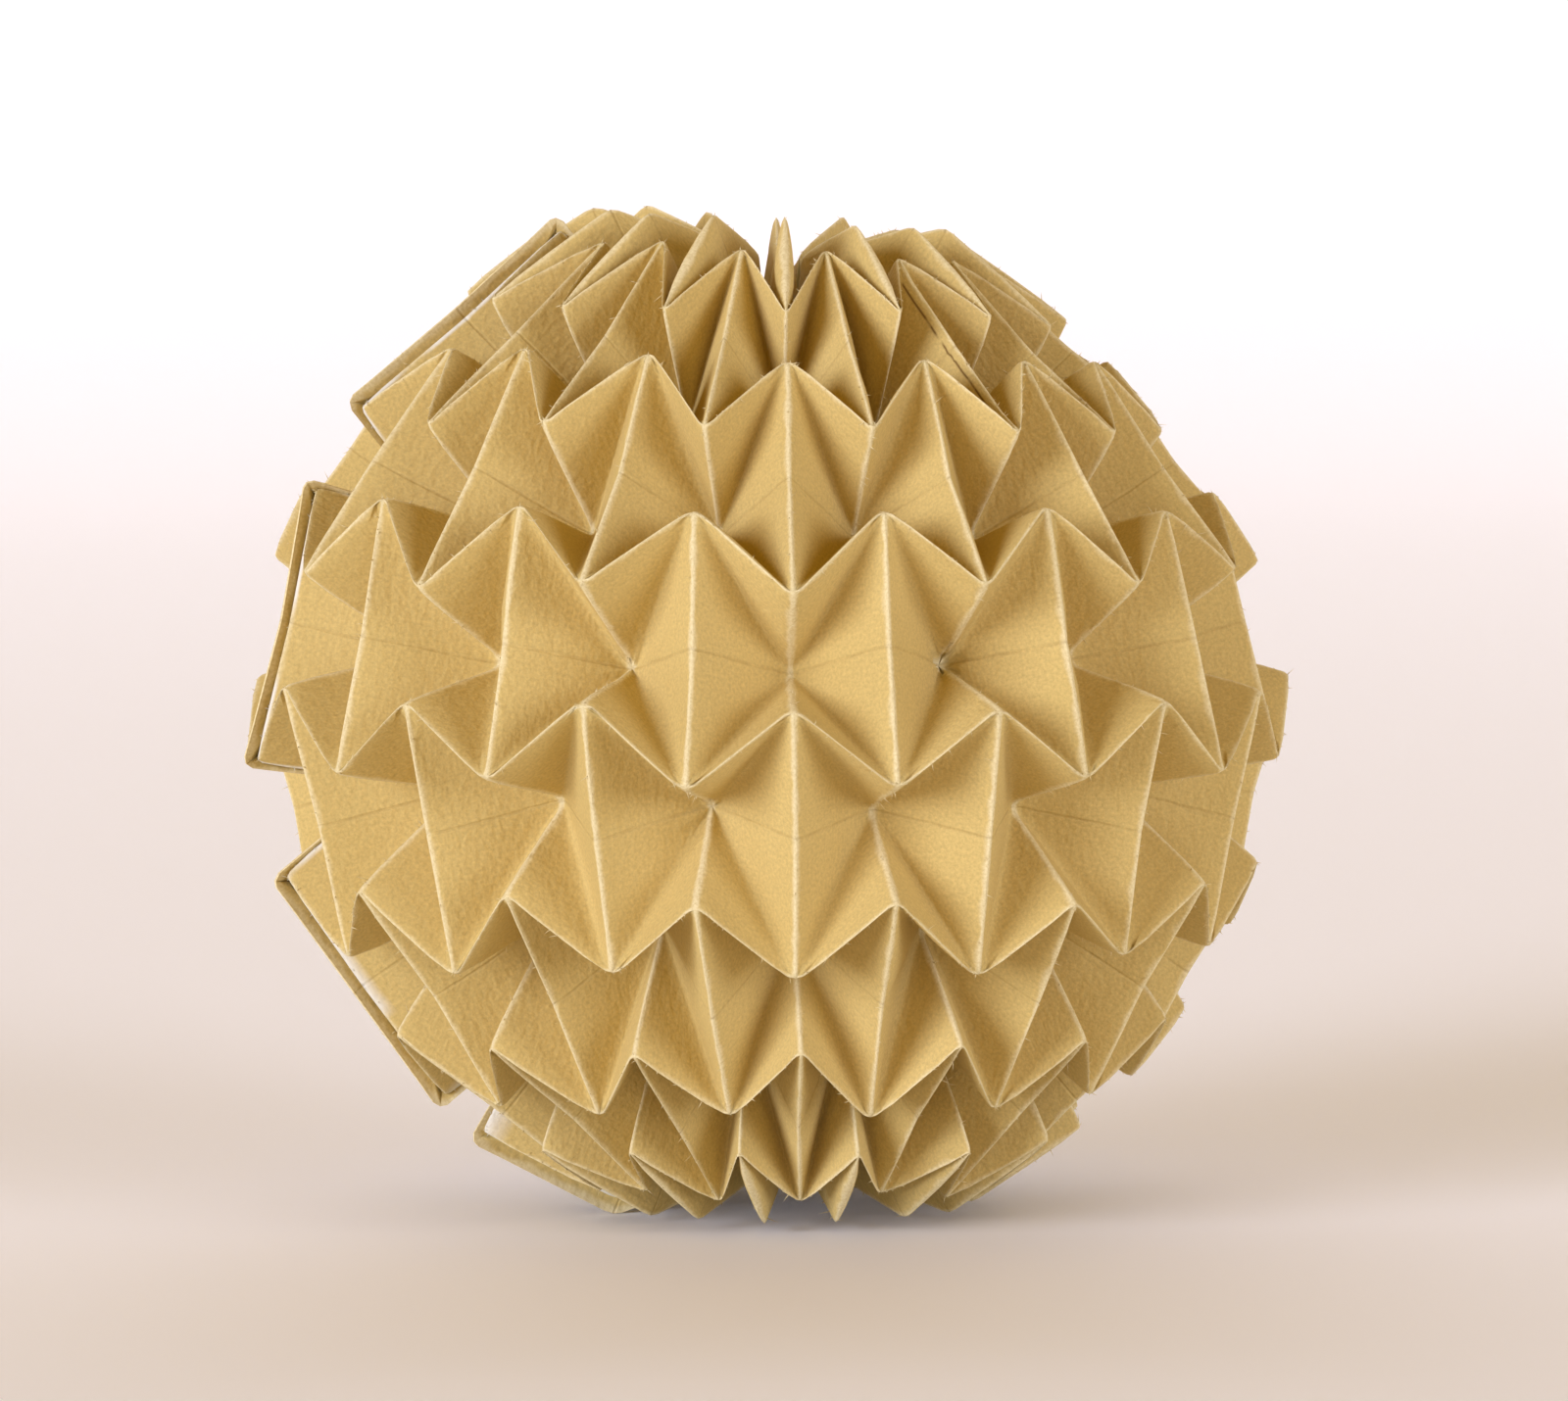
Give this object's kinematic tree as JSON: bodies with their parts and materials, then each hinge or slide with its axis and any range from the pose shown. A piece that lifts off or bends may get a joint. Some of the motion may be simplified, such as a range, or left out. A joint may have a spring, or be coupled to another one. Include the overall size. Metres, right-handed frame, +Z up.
{
  "type": "origami magic ball",
  "caption": "Hand-sized pleated paper ball folded from one kraft sheet in a waterbomb grid, closed at a glued seam and drawn in at both poles; a hanging or standing ornament.",
  "frame": {"origin": "centre of the ring of bends at the lower pole, on the surface the ball stands on", "axes": "+Z up along the pole axis, -Y towards the side seen in the picture, +X to its right; the glued seam is at -X"},
  "size_m": [0.0728, 0.0728, 0.0692],
  "materials": {
    "kraft_paper": "matte uncoated kraft, worn pale at the creases"
  },
  "bodies": {
    "root": {"folded_sheet": "kraft_paper"}
  },
  "joints": []
}
